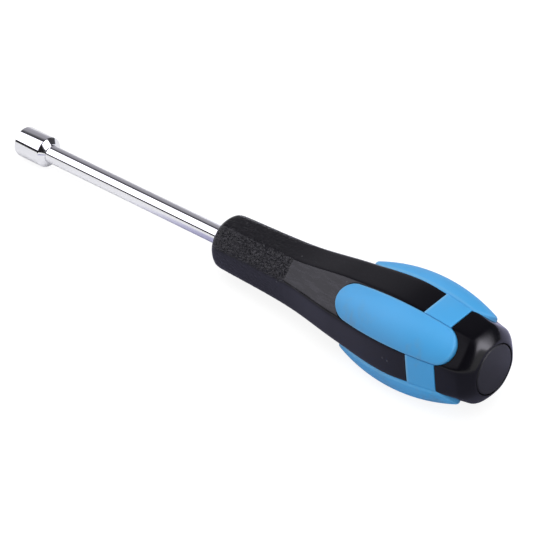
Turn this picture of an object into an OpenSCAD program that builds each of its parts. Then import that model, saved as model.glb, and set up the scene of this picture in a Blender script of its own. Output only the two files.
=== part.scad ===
// Nut driver: a hexagon socket on a round chromed shaft, set in a square moulded
// handle whose rounded corners are soft overmoulded lobes.
// The tool lies along X, with the socket's mouth at the origin and facing +X.

/* [Shaft] */
// Diameter of the round shaft
shaft_d = 6; // [5:0.5:7]
// Length of blade in front of the handle, to the socket's mouth
blade_len = 92.4; // [70:0.1:150]
// Length of shaft held inside the handle
tang_len = 62; // [52:1:66]
// Chamfer on the held end of the shaft
tang_chamfer = 0.6; // [0.2:0.1:1]
// How far each of the two pressed wings stands out of the shaft
wing_h = 1.5; // [1:0.1:2]
// Thickness of the wings
wing_t = 2.6; // [2:0.1:3.2]
// Length of the wings
wing_len = 16; // [10:1:22]
// Length of the slope at each end of a wing
wing_ramp = 3; // [2:0.5:4]
// Distance from the held end of the shaft to the wings
wing_from_end = 6; // [4:0.5:10]

/* [Socket] */
// Outside diameter of the socket
socket_d = 10.3; // [9.8:0.1:12]
// Length of the socket's straight barrel
barrel_len = 11.2; // [10:0.1:14]
// Length of the cone from the barrel down to the shaft
shoulder_len = 1.5; // [1:0.1:3]
// Width of the flat foot of that cone, round the shaft
shoulder_foot = 0.3; // [0.2:0.05:0.6]
// Hexagon size across its flats
hex_af = 7; // [5.5:0.5:7.5]
// Depth of the hexagon
hex_depth = 6; // [4.5:0.1:6.5]
// Diameter of the clearance bore behind the hexagon
stud_d = 4.6; // [4:0.1:5]
// Depth of that bore past the hexagon
stud_depth = 2; // [1.5:0.1:2.4]
// Chamfer round the outside of the mouth and of the barrel's back
socket_chamfer = 0.3; // [0.2:0.1:0.5]
// Depth of the lead-in cone that guides a nut into the hexagon
lead_in = 0.6; // [0.3:0.1:0.8]

/* [Handle] */
// Length of the handle
handle_len = 104.6; // [102:0.1:120]
// Radius that rounds the nose
nose_round = 4.6; // [3:0.1:5.5]
// Length of the slope that narrows the butt to its rim
butt_round = 4.4; // [4:0.1:4.6]
// Wall of the butt round the end cap
butt_wall = 0.8; // [0.6:0.05:0.9]
// Distance from the butt to the deepest part of the scoop behind each lobe
scoop_at = 4.6; // [4:0.1:5.5]
// Distance from the butt to the tail
tail_at = 11; // [9.5:0.1:12.5]
// Distance from the butt to the thickest part
belly_at = 29; // [26:0.5:32]
// Distance from the butt to the front of the lobes
hip_at = 49.9; // [48:0.1:54]
// Distance from the butt to the neck, where the grained nose starts
neck_at = 71.5; // [69:0.5:76]
// Half-width over the flat panels at the butt, before it is narrowed
panel_butt = 11.3; // [11:0.1:11.6]
// Half-width over the flat panels at the tail
panel_tail = 12.8; // [12.4:0.1:13.2]
// Half-width over the flat panels at the belly
panel_belly = 14.75; // [14.4:0.05:15.1]
// Half-width over the flat panels at the hip
panel_hip = 12.9; // [12.6:0.1:13.2]
// Half-width over the flat panels at the neck
panel_neck = 9.65; // [9.3:0.05:10]
// Half-width over the flat panels at the nose
panel_nose = 8.6; // [8.3:0.05:8.8]
// Half-width over the corner facets at the butt, before it is narrowed
facet_butt = 11.8; // [11.5:0.1:12.1]
// Half-width over the corner facets at the scoop
facet_scoop = 11.7; // [11.4:0.1:12]
// Half-width over the corner facets at the tail
facet_tail = 12.6; // [12.2:0.1:13]
// Half-width over the corner facets at the belly
facet_belly = 14.6; // [14.2:0.1:15]
// Half-width over the corner facets at the hip
facet_hip = 12.5; // [12.2:0.1:12.8]
// Half-width over the corner facets at the neck
facet_neck = 9.95; // [9.7:0.05:10.2]
// Half-width over the corner facets at the nose
facet_nose = 8.75; // [8.6:0.05:8.9]
// How far the edges between facets stand out past them at the butt
edge_butt = 0.25; // [0.15:0.05:0.5]
// How far those edges may stand out along the body, where they stay crisp
edge_body = 2; // [1.8:0.05:2.4]
// How far those edges stand out at the nose
edge_nose = 0.4; // [0.2:0.05:0.6]
// Length behind the nose's end over which they fade to that
edge_fade = 14; // [10:0.5:18]

/* [Soft grip] */
// Distance from the butt to the rear tip of a lobe
lobe_from = 6.6; // [6:0.1:7.5]
// Radius of a lobe's round ends
lobe_end_r = 5.8; // [5.4:0.1:6.2]
// Half-width of a lobe at its middle
lobe_half = 6.7; // [6.4:0.1:7]
// Distance from the butt to the highest part of a lobe's crest
crest_at = 28.4; // [26:0.1:31]
// Radius of a lobe's crest across the handle
crest_r = 8.6; // [8.4:0.1:9]
// How far a crest stands out past a plain rounding of the belly's corner
crest_rise = 0.5; // [0.3:0.05:0.7]
// How far the crest stands above its facet at the front tip of a lobe
tip_rise = 1.2; // [1:0.05:1.6]
// Depth of the soft skin below the hard surface
grip_depth = 1.6; // [1.2:0.1:2]
// Distance from the butt to the rear edge of the soft band
band_from = 11; // [10.5:0.1:12]
// Distance from the butt to the front edge of the soft band
band_to = 20.2; // [19:0.1:22]
// How far the band stands proud of the panels
band_proud = 0.15; // [0.1:0.05:0.25]

/* [End cap] */
// Diameter of the cap's disc
cap_d = 15.5; // [14:0.1:16]
// Thickness of the disc
cap_t = 2.6; // [2.2:0.1:3]
// How far the disc stands proud of the butt
cap_proud = 0.15; // [0.1:0.05:0.4]
// Chamfer round the disc
cap_chamfer = 0.5; // [0.2:0.1:0.8]
// Diameter of the plug behind the disc
plug_d = 10.4; // [9:0.1:11]
// Length of the plug
plug_len = 8; // [6:0.5:10]
// Wall of the plug
plug_wall = 1.6; // [1.2:0.1:2]
// Height of the snap bead round the plug
bead_h = 0.4; // [0.2:0.1:0.5]
// Distance from the disc to the middle of the bead
bead_from_disc = 4.8; // [3:0.1:5]
// Length of the slope on each side of the bead
bead_ramp = 1; // [0.6:0.1:1.4]
// Width of the groove round the disc
rim_gap = 0.25; // [0.2:0.05:0.4]
// Gap round the plug and its bead
cap_gap = 0.15; // [0.1:0.05:0.2]
// Solid plastic between the hollow in the butt and the shaft
hollow_wall = 12; // [8:1:16]

/* [Hidden] */
$fn = 96;
// Overlap of a cut past the face that it opens
cut = 1;
overall = blade_len + handle_len;
// Larger than the handle is wide
clear_w = 4 * panel_belly;
lobe_count = 4;
corner_turn = 45;
// Points along the handle's curves, and round a lobe's ends
curve_steps = 30;
lobe_steps = 7;
// Points round each end of the handle, on its facets and on the skin that trims their edges
facet_steps = 7;
trim_steps = 9;

// Half-width of the butt's face, just enough to hold the end cap
butt_rim = cap_d / 2 + rim_gap + butt_wall;
// Stations of the handle: distance from the butt, and half-width there
panel_knots = [[0, panel_butt], [tail_at, panel_tail], [belly_at, panel_belly], [hip_at, panel_hip],
               [neck_at, panel_neck], [handle_len, panel_nose]];
facet_knots = [[0, facet_butt], [scoop_at, facet_scoop], [tail_at, facet_tail], [belly_at, facet_belly],
               [hip_at, facet_hip], [neck_at, facet_neck], [handle_len, facet_nose]];
edge_knots = [[0, edge_butt], [tail_at, edge_body], [handle_len - edge_fade, edge_body],
              [handle_len, edge_nose]];

// Slope of a smooth curve through the knots, at knot i
function slope(k, i) =
    let (a = max(i - 1, 0), b = min(i + 1, len(k) - 1))
    (k[b][1] - k[a][1]) / (k[b][0] - k[a][0]);

// Index of the span of the curve that holds x
function span(k, x, i = 0) = i >= len(k) - 2 || x <= k[i + 1][0] ? i : span(k, x, i + 1);

// Height at x of the smooth curve through the knots
function curve(k, x) =
    let (i = span(k, x), w = k[i + 1][0] - k[i][0], u = (x - k[i][0]) / w)
    k[i][1] * (1 + 2 * u) * (1 - u) * (1 - u) + slope(k, i) * w * u * (1 - u) * (1 - u)
    + k[i + 1][1] * u * u * (3 - 2 * u) + slope(k, i + 1) * w * u * u * (u - 1);

// Share of its whole drop that an end rounded over length r has at distance d from that end
function end_drop(d, r) = d >= r ? 0 : 1 - sqrt(1 - (1 - d / r) * (1 - d / r));

// The same share at the butt, which slopes down to a rim
function butt_drop(t) = t >= butt_round ? 0 : (1 - t / butt_round) ^ 2;

// Half-width of a facet at distance t from the butt, with the butt sloped down to its rim
function facet_at(k, t) = curve(k, t) - (k[0][1] - butt_rim) * butt_drop(t);

// Radius that trims the edges between facets and rounds the nose
function edge_at(t) =
    facet_at(facet_knots, t) + lookup(t, edge_knots) - nose_round * end_drop(handle_len - t, nose_round);

// Stations along the handle, close together where its ends are rounded
body_run = handle_len - nose_round - butt_round;
function stations(steps) = concat(
    [for (i = [0:steps - 1]) butt_round * i / steps],
    [for (i = [0:curve_steps]) butt_round + body_run * i / curve_steps],
    [for (i = [1:steps]) handle_len - nose_round * (1 - sin(90 * i / steps))]);

// A slab whose two faces follow a curve along the handle, moved outwards by grow
module slab(knots, grow) {
    edge = [for (t = stations(facet_steps)) [t, facet_at(knots, t) + grow]];
    outline = concat(edge, [for (i = [len(edge) - 1:-1:0]) [edge[i][0], -edge[i][1]]]);
    rotate([0, -90, 0]) linear_extrude(clear_w, center = true) polygon(outline);
}

// The eight-sided body of the handle, standing on its butt
module eight_sided(grow = 0) {
    intersection() {
        slab(panel_knots, grow);
        rotate(90) slab(panel_knots, grow);
        rotate(corner_turn) slab(facet_knots, grow);
        rotate(corner_turn + 90) slab(facet_knots, grow);
    }
}

module handle_form() {
    intersection() {
        eight_sided();
        rotate_extrude()
            polygon(concat([[0, 0]], [for (t = stations(trim_steps)) [edge_at(t), t]], [[0, handle_len]]));
    }
}

// Outline of a lobe about its middle: slightly barrelled sides and round ends
lobe_to = hip_at;
lobe_run = (lobe_to - lobe_from) / 2 - lobe_end_r;
module lobe_outline() {
    side = [for (i = [-lobe_steps:lobe_steps])
        let (u = i / lobe_steps) [lobe_run * u, lobe_end_r + (lobe_half - lobe_end_r) * (1 - u * u)]];
    end = [for (i = [1:2 * lobe_steps - 1])
        let (a = 90 - 90 * i / lobe_steps) [lobe_run + lobe_end_r * cos(a), lobe_end_r * sin(a)]];
    half = concat(side, end);
    polygon(concat(half, [for (p = half) -p]));
}

// Prism through one lobe's outline, from the axis outwards along +X
module lobe_prism() {
    translate([0, 0, (lobe_from + lobe_to) / 2]) rotate([0, 90, 0]) rotate(180)
        linear_extrude(clear_w / 2) lobe_outline();
}

// Barrel whose surface is the crest of one lobe, along +X
crest_h = sqrt(2) * (panel_belly - crest_r) + crest_r + crest_rise;
crest_fall = crest_h - facet_hip - tip_rise;
crest_sweep = ((lobe_to - crest_at) ^ 2 + crest_fall ^ 2) / (2 * crest_fall);
module lobe_crest() {
    translate([crest_h - crest_sweep, 0, crest_at]) rotate([90, 0, 0])
        rotate_extrude() translate([crest_sweep - crest_r, 0]) circle(crest_r);
}

module on_each_corner() {
    for (i = [0:lobe_count - 1]) rotate(corner_turn + 360 * i / lobe_count) children();
}

module band_slice() {
    translate([-clear_w / 2, -clear_w / 2, band_from]) cube([clear_w, clear_w, band_to - band_from]);
}

// What is left of the body under the soft skin
module grip_floor() {
    eight_sided(-grip_depth);
}

// The shaft, standing on the butt's level with its held end downwards
tang_end = handle_len - tang_len;
shaft_top = overall - hex_depth - stud_depth;
module wings() {
    half = shaft_d / 2 + wing_h;
    side = [[shaft_d / 4, 0], [half, wing_ramp], [half, wing_len - wing_ramp], [shaft_d / 4, wing_len]];
    outline = concat(side, [for (i = [len(side) - 1:-1:0]) [-side[i][0], side[i][1]]]);
    translate([0, 0, tang_end + wing_from_end]) rotate([90, 0, 0])
        linear_extrude(wing_t, center = true) polygon(outline);
}

module shaft_form() {
    rotate_extrude() polygon([[0, tang_end], [shaft_d / 2 - tang_chamfer, tang_end],
        [shaft_d / 2, tang_end + tang_chamfer], [shaft_d / 2, shaft_top], [0, shaft_top]]);
    wings();
}

// The end cap's seat in the butt
cap_floor = cap_t - cap_proud;
bead_at = cap_floor + bead_from_disc;
module bead_ring(gap) {
    inner = plug_d / 2 - plug_wall / 2;
    outer = plug_d / 2 + gap;
    reach = bead_ramp + gap;
    rotate_extrude() polygon([[inner, bead_at - reach], [outer, bead_at - reach], [outer + bead_h, bead_at],
        [outer, bead_at + reach], [inner, bead_at + reach]]);
}

module cap_seat() {
    translate([0, 0, -cut]) cylinder(cap_floor + cut, d = cap_d + 2 * rim_gap);
    translate([0, 0, -cut]) cylinder(tang_end - hollow_wall + cut, d = plug_d + 2 * cap_gap);
    bead_ring(cap_gap);
}

// Lays the standing tool along X with the socket's mouth at the origin
module along_x() {
    translate([-overall, 0, 0]) rotate([0, 90, 0]) children();
}

// Chromed head, fixed on the end of the shaft
barrel_back = overall - barrel_len;
socket_back = barrel_back - shoulder_len;
module socket() color("silver") along_x() difference() {
    rotate_extrude() polygon([[0, socket_back], [shaft_d / 2 + shoulder_foot, socket_back],
        [socket_d / 2 - socket_chamfer, barrel_back], [socket_d / 2, barrel_back + socket_chamfer],
        [socket_d / 2, overall - socket_chamfer], [socket_d / 2 - socket_chamfer, overall], [0, overall]]);
    translate([0, 0, overall - hex_depth]) cylinder(hex_depth + cut, d = hex_af / cos(30), $fn = 6);
    translate([0, 0, overall - 2 * lead_in])
        cylinder(3 * lead_in, hex_af / 2 - lead_in, hex_af / 2 + 2 * lead_in);
    translate([0, 0, shaft_top - cut]) cylinder(stud_depth + 2 * cut, d = stud_d);
    translate([0, 0, socket_back - cut]) cylinder(shaft_top - socket_back + cut, d = shaft_d);
}

// Round bar with pressed wings on its held end
module shaft() color("gainsboro") along_x() shaft_form();

// Hard moulding round the shaft, with pockets for the soft grip
module handle_core() color("#1c1c20") along_x() difference() {
    handle_form();
    difference() {
        union() {
            on_each_corner() lobe_prism();
            band_slice();
        }
        grip_floor();
    }
    shaft_form();
    cap_seat();
}

// Soft overmoulding: a lobe on each corner and the band that joins them
module soft_grip() color("#4aa8e8") along_x() difference() {
    union() {
        on_each_corner() intersection() {
            lobe_crest();
            lobe_prism();
        }
        intersection() {
            eight_sided(band_proud);
            band_slice();
        }
    }
    grip_floor();
}

// Disc that closes the butt, on a hollow plug with a snap bead
module end_cap() color("#26262a") along_x() difference() {
    union() {
        translate([0, 0, -cap_proud]) rotate_extrude() polygon([[0, 0], [cap_d / 2 - cap_chamfer, 0],
            [cap_d / 2, cap_chamfer], [cap_d / 2, cap_t], [0, cap_t]]);
        cylinder(cap_floor + plug_len, d = plug_d);
        bead_ring(0);
    }
    translate([0, 0, cap_floor]) cylinder(plug_len + cut, d = plug_d - 2 * plug_wall);
}

socket();
shaft();
handle_core();
soft_grip();
end_cap();
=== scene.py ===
"""A nut driver for a studio picture: chromed socket and shaft, moulded handle, soft grip and end cap."""

import math

import bmesh
import bpy
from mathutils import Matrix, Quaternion, Vector, noise


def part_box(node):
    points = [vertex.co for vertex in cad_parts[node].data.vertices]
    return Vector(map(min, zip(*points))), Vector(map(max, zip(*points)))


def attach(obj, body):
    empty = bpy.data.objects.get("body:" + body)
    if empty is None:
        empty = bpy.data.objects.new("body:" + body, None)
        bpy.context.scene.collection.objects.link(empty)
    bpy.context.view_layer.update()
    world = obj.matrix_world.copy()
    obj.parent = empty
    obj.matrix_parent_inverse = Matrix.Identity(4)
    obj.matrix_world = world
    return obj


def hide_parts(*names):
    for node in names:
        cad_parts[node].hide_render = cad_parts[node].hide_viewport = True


bl_info = {
    "name": "Nut driver",
    "version": (1, 0, 0),
    "blender": (4, 5, 0),
    "location": "3D View > Sidebar > Nut driver",
    "description": "Models and finishes a nut driver round its packed parts",
    "category": "Add Mesh",
}

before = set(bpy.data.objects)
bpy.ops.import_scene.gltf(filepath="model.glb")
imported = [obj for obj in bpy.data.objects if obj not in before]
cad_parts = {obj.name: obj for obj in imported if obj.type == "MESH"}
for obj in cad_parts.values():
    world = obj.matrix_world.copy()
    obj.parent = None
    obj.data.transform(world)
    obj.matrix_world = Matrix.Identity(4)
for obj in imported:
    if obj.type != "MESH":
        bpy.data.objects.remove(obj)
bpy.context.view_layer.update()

MM = 0.001
BODY = "root"
CORE_LOW, CORE_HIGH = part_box("handle_core")
GRIP_LOW, GRIP_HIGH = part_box("soft_grip")
CAP_LOW, CAP_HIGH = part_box("end_cap")
SHAFT_LOW, SHAFT_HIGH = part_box("shaft")
SOCKET_LOW, SOCKET_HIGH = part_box("socket")
# Places along the handle are measured forwards from its butt
BUTT_X = CORE_LOW.x
HANDLE_LEN = CORE_HIGH.x - BUTT_X
# Points nearer than this merge, and a point this close to an outline counts as inside it
MERGE = 1e-7
ON_EDGE = 1e-6
QUARTER = math.pi / 2
CORNER = math.pi / 4
# Vertices round the handle, round a turned piece, and along and round the ends of a lobe's outline
AROUND = 288
TURNED = 144
LOBE_SIDE = 64
LOBE_END = 40
# Distances between the rings of the hard moulding on the butt's slope, along the body and on the grained nose
BUTT_RING = 0.25 * MM
BODY_RING = 0.7 * MM
NOSE_RING = 0.2 * MM
# Room round a pressed piece, and the rounding of small inside edges
PLAY = 0.02 * MM
SMALL_ROUND = 0.15 * MM
# Crispness of the edges between the handle's flats along its body
CRISP = 50
# From 0 in a panel's middle to 1 in a facet's: where its marks start, and painted and modelled ones are full
FACET_FROM = 0.66
FACET_FULL = 0.78
FACET_CUT = 0.8
# Edge wear and painted highlight on a lobe's edge at its rear and front ends, and on the band's front edge,
# with its width in roundings
REAR_WEAR_HIGHLIGHT = 0.25
FRONT_WEAR_HIGHLIGHT = 0.9
BAND_WEAR_HIGHLIGHT = 0.9
BAND_HIGHLIGHT_WIDTH = 2.2
# Edges bent by more than this stay sharp
SHARP = math.radians(32)


def length(name, note, value):
    """A size in millimetres, kept in metres."""
    return bpy.props.FloatProperty(
        name=name, description=note, default=value * MM, unit="LENGTH", precision=5
    )


def lengths(name, note, *values):
    """Some sizes in millimetres, kept in metres."""
    return bpy.props.FloatVectorProperty(
        name=name, description=note, size=len(values), default=[v * MM for v in values],
        unit="LENGTH", precision=5,
    )


def tint(name, note, *colour):
    """A colour of a finish."""
    return bpy.props.FloatVectorProperty(
        name=name, description=note, size=3, default=colour, subtype="COLOR", min=0, max=1
    )


def share(name, note, value):
    """A number from 0 to 1."""
    return bpy.props.FloatProperty(name=name, description=note, default=value, subtype="FACTOR", min=0, max=1)


class DriverSizes(bpy.types.PropertyGroup):
    """Sizes of the pieces; what isn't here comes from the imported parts."""

    scoop_at: length("Scoop", "From the butt to the scoop behind each lobe", 4.6)
    tail_at: length("Tail", "From the butt to the tail", 11)
    belly_at: length("Belly", "From the butt to the thickest part", 29)
    hip_at: length("Hip", "From the butt to the front of the lobes", 49.9)
    neck_at: length("Neck", "From the butt to the neck, where the grained nose starts", 71.5)
    panel_half: lengths(
        "Panels",
        "Half-widths over the flat panels: butt, tail, belly, hip, neck, nose",
        11.3, 13.0, 15.1, 13.0, 9.65, 8.6,
    )
    facet_half: lengths(
        "Facets",
        "Half-widths over the corner facets: butt, scoop, tail, belly, hip, neck, nose",
        12.0, 11.95, 12.9, 14.6, 12.5, 9.95, 8.75,
    )
    nose_round: length("Nose rounding", "Radius that rounds the nose", 4.6)
    butt_round: length("Butt slope", "Length of the slope that narrows the butt to its rim", 4.4)
    butt_rim: length("Butt rim", "Half-width of the butt's face", 8.8)
    edge_body: length("Body edges", "How far the edges between facets may stand out", 2)
    butt_lip: length("Butt lip", "Length of the rounding at the butt's rim", 0.5)
    edge_butt: length("Butt edges", "How far they stand out at the butt", 0.25)
    edge_nose: length("Nose edges", "How far they stand out at the nose", 0.4)
    edge_fade: length("Edge fade", "Length over which they fade to the nose", 14)
    lobe_end_r: length("Lobe ends", "Radius of a lobe's round ends", 5.8)
    lobe_half: length("Lobe half-width", "Half-width of a lobe at its middle", 6.6)
    lobe_edge: length("Lobe edge", "Rounding of a lobe's long edges", 0.5)
    lobe_tip: length("Lobe tip", "Rounding of a lobe's edge at its tips", 0.6)
    crest_at: length("Crest", "From the butt to the highest part of a lobe", 28.4)
    crest_h: length("Crest height", "Height of a lobe's crest over the axis", 17.8)
    crest_r: length("Crest radius", "Radius of a crest across the handle", 8.6)
    tip_rise: length("Tip rise", "How far a crest stands over its facet at the front tip", 1.2)
    grip_depth: length("Grip depth", "Depth of the soft skin below the hard surface", 1.6)
    band_from: length("Band rear", "From the butt to the rear edge of the band", 11.1)
    band_to: length("Band front", "From the butt to the front edge of the band", 20.5)
    band_proud: length("Band rise", "How far the band stands proud of the panels", 0.15)
    band_edge: length("Band rear edge", "Rounding of the band's rear edge", 0.2)
    band_lip: length("Band front edge", "Rounding of the band's front edge", 0.4)
    crease: length("Crease", "Width and depth of the groove where a lobe meets the band", 0.16)
    seam: length("Seam", "Gap between the soft grip and the hard moulding", 0.22)
    grain_rise: length("Grain", "Height of the nose's moulded grain", 0.11)
    grain_step: length("Grain size", "Size of the nose's moulded grain", 0.9)
    ridge_step: length("Ridge size", "Size of the fine ridges on the nose", 0.8)
    shaft_r: length("Shaft radius", "Radius of the shaft", 3)
    wing_h: length("Wing height", "How far each wing stands out of the shaft", 1.5)
    wing_t: length("Wing thickness", "Thickness of the wings", 2.6)
    wing_len: length("Wing length", "Length of the wings", 16)
    wing_ramp: length("Wing slope", "Length of the slope at each end of a wing", 3)
    wing_from_end: length("Wing place", "From the held end of the shaft to the wings", 6)
    tang_chamfer: length("Shaft chamfer", "Chamfer on the held end of the shaft", 0.6)
    socket_r: length("Socket radius", "Outside radius of the socket", 5.15)
    shoulder_len: length("Shoulder", "Length of the cone behind the socket's barrel", 1.5)
    shoulder_foot: length("Shoulder foot", "Width of the flat foot of that cone", 0.3)
    socket_edge: length("Socket edge", "Rounding of the barrel's back edge", 0.55)
    mouth_edge: length("Mouth edge", "Rounding of the socket's mouth", 0.3)
    hex_af: length("Hexagon", "Width of the hexagon across its flats", 7)
    hex_depth: length("Hexagon depth", "Depth of the hexagon", 6)
    lead_in: length("Lead-in", "Depth of the cone that guides a nut in", 0.6)
    stud_r: length("Stud bore", "Radius of the bore behind the hexagon", 2.3)
    stud_depth: length("Stud depth", "Depth of that bore", 2)
    cap_r: length("Disc radius", "Radius of the end cap's disc", 7.75)
    cap_t: length("Disc thickness", "Thickness of the disc", 2.6)
    cap_edge: length("Disc edge", "Rounding of the disc's edge", 0.55)
    rim_gap: length("Groove", "Width of the groove round the disc", 0.25)
    cap_gap: length("Plug gap", "Gap round the plug", 0.15)
    plug_r: length("Plug radius", "Radius of the plug behind the disc", 5.2)
    plug_wall: length("Plug wall", "Wall of the plug", 1.6)
    bead_h: length("Bead", "Height of the snap bead round the plug", 0.4)
    bead_from_disc: length("Bead place", "From the disc to the middle of the bead", 4.8)
    bead_ramp: length("Bead slope", "Length of the slope on each side of the bead", 1)
    hollow_wall: length("Hollow wall", "Solid plastic between the hollow butt and the shaft", 12)


class DriverFinish(bpy.types.PropertyGroup):
    """Colours and gloss of the finishes."""

    chrome: tint("Chrome", "Plating of the socket and shaft", 0.86, 0.86, 0.88)
    hard_black: tint("Hard black", "Hard moulding of the handle", 0.004, 0.0038, 0.006)
    soft_blue: tint("Soft blue", "Soft overmoulding", 0.055, 0.39, 0.81)
    scuff: tint("Scuffs", "Faint scuffs along the hard moulding", 0.017, 0.0163, 0.022)
    dust: tint("Dust", "Specks on the hard moulding", 0.05, 0.05, 0.055)
    # Paler rounded edges of the soft grip: wear together with a painted highlight
    worn_blue: tint("Worn blue", "Edges of the soft overmoulding", 0.24, 0.52, 0.76)
    # Painted sheen: paler skin towards the front of the soft grip
    bloom: tint("Bloom", "Paler skin on the front of the soft overmoulding", 0.5, 0.6, 0.8)
    # Grey patches, mostly on the lower side: handling grime together with a painted reflection of the floor
    grime: tint("Grime", "Film that hands leave on the soft overmoulding", 0.19, 0.27, 0.37)
    cap_black: tint("Cap black", "Disc of the end cap", 0.005, 0.0048, 0.0065)
    chrome_rough: share("Chrome roughness", "Roughness of the plating", 0.07)
    hard_rough: share("Hard roughness", "Roughness of the smooth part of the handle", 0.2)
    nose_rough: share("Nose roughness", "Roughness of the grained nose", 0.26)
    soft_rough: share("Soft roughness", "Roughness of the soft grip", 0.52)
    cap_rough: share("Cap roughness", "Roughness of the disc", 0.5)


def sizes():
    """The sizes as they are set."""
    return bpy.context.scene.driver_sizes


def finish():
    """The finishes as they are set."""
    return bpy.context.scene.driver_finish


# Form of the handle


def smooth_curve(knots, at):
    """Height at a place of the smooth curve through the knots."""

    def slope(i):
        a, b = knots[max(i - 1, 0)], knots[min(i + 1, len(knots) - 1)]
        return (b[1] - a[1]) / (b[0] - a[0])

    i = next((n for n in range(len(knots) - 2) if at <= knots[n + 1][0]), len(knots) - 2)
    (x0, y0), (x1, y1) = knots[i], knots[i + 1]
    w = x1 - x0
    u = (at - x0) / w
    ends = y0 * (1 + 2 * u) * (1 - u) ** 2 + y1 * u * u * (3 - 2 * u)
    return ends + slope(i) * w * u * (1 - u) ** 2 + slope(i + 1) * w * u * u * (u - 1)


def straight_curve(knots, at):
    """Height at a place of the straight lines through the knots."""
    for (x0, y0), (x1, y1) in zip(knots, knots[1:]):
        if at <= x1:
            return y0 + (y1 - y0) * (at - x0) / (x1 - x0)
    return knots[-1][1]


def end_drop(from_end, over):
    """Share of its whole drop that a rounded end has at a distance from that end."""
    return 0 if from_end >= over else 1 - math.sqrt(max(0, 1 - (1 - from_end / over) ** 2))


def ease(low, high, value):
    """A soft step from 0 at low to 1 at high."""
    u = min(1, max(0, (value - low) / (high - low)))
    return u * u * (3 - 2 * u)


class Handle:
    """The moulded handle: eight flats whose widths change along it, rounded at the nose and the butt."""

    def __init__(self, s):
        self.s = s
        panel_at = [0, s.tail_at, s.belly_at, s.hip_at, s.neck_at, HANDLE_LEN]
        facet_at = [0, s.scoop_at, *panel_at[1:]]
        self.panel_knots = list(zip(panel_at, s.panel_half))
        self.facet_knots = list(zip(facet_at, s.facet_half))
        fade_from = HANDLE_LEN - s.edge_fade
        self.edge_knots = [
            (0, s.edge_butt), (s.tail_at, s.edge_body), (fade_from, s.edge_body), (HANDLE_LEN, s.edge_nose),
        ]
        # How crisp the edges between flats are; they soften towards both ends
        butt = [(0, 12), (3 * MM, 22), (6 * MM, 44)]
        nose = [(s.neck_at + 4 * MM, 42), (HANDLE_LEN, 22)]
        self.crisp_knots = [*butt, (s.tail_at, CRISP), (s.neck_at, CRISP), *nose]
        self.flats = {}

    def half(self, knots, at):
        """Half-width over a pair of flats, with the butt sloped down to its rim."""
        slope = max(0, 1 - at / self.s.butt_round) ** 2
        return smooth_curve(knots, at) - (knots[0][1] - self.s.butt_rim) * slope

    def section(self, at):
        """Half-widths over the panels and facets, the radius that trims their edges, and the crispness."""
        if at not in self.flats:
            facet = self.half(self.facet_knots, at)
            trim = facet + straight_curve(self.edge_knots, at)
            trim -= self.s.nose_round * end_drop(HANDLE_LEN - at, self.s.nose_round)
            panel, crisp = self.half(self.panel_knots, at), straight_curve(self.crisp_knots, at)
            self.flats[at] = (panel, facet, trim, crisp)
        return self.flats[at]

    def reach(self, at, angle):
        """Distance from the axis to the surface."""
        panel, facet, trim, crisp = self.section(at)
        off = abs((angle + CORNER) % QUARTER - CORNER)
        total = (math.cos(off) / panel) ** crisp + (math.cos(CORNER - off) / facet) ** crisp + trim ** -crisp
        return total ** (-1 / crisp)

    def corner(self, at, aside):
        """Height of the surface over the axis, along a diagonal, at a distance to its side."""
        panel, facet, _, _ = self.section(at)
        return min(facet, math.sqrt(2) * panel - abs(aside))


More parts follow.
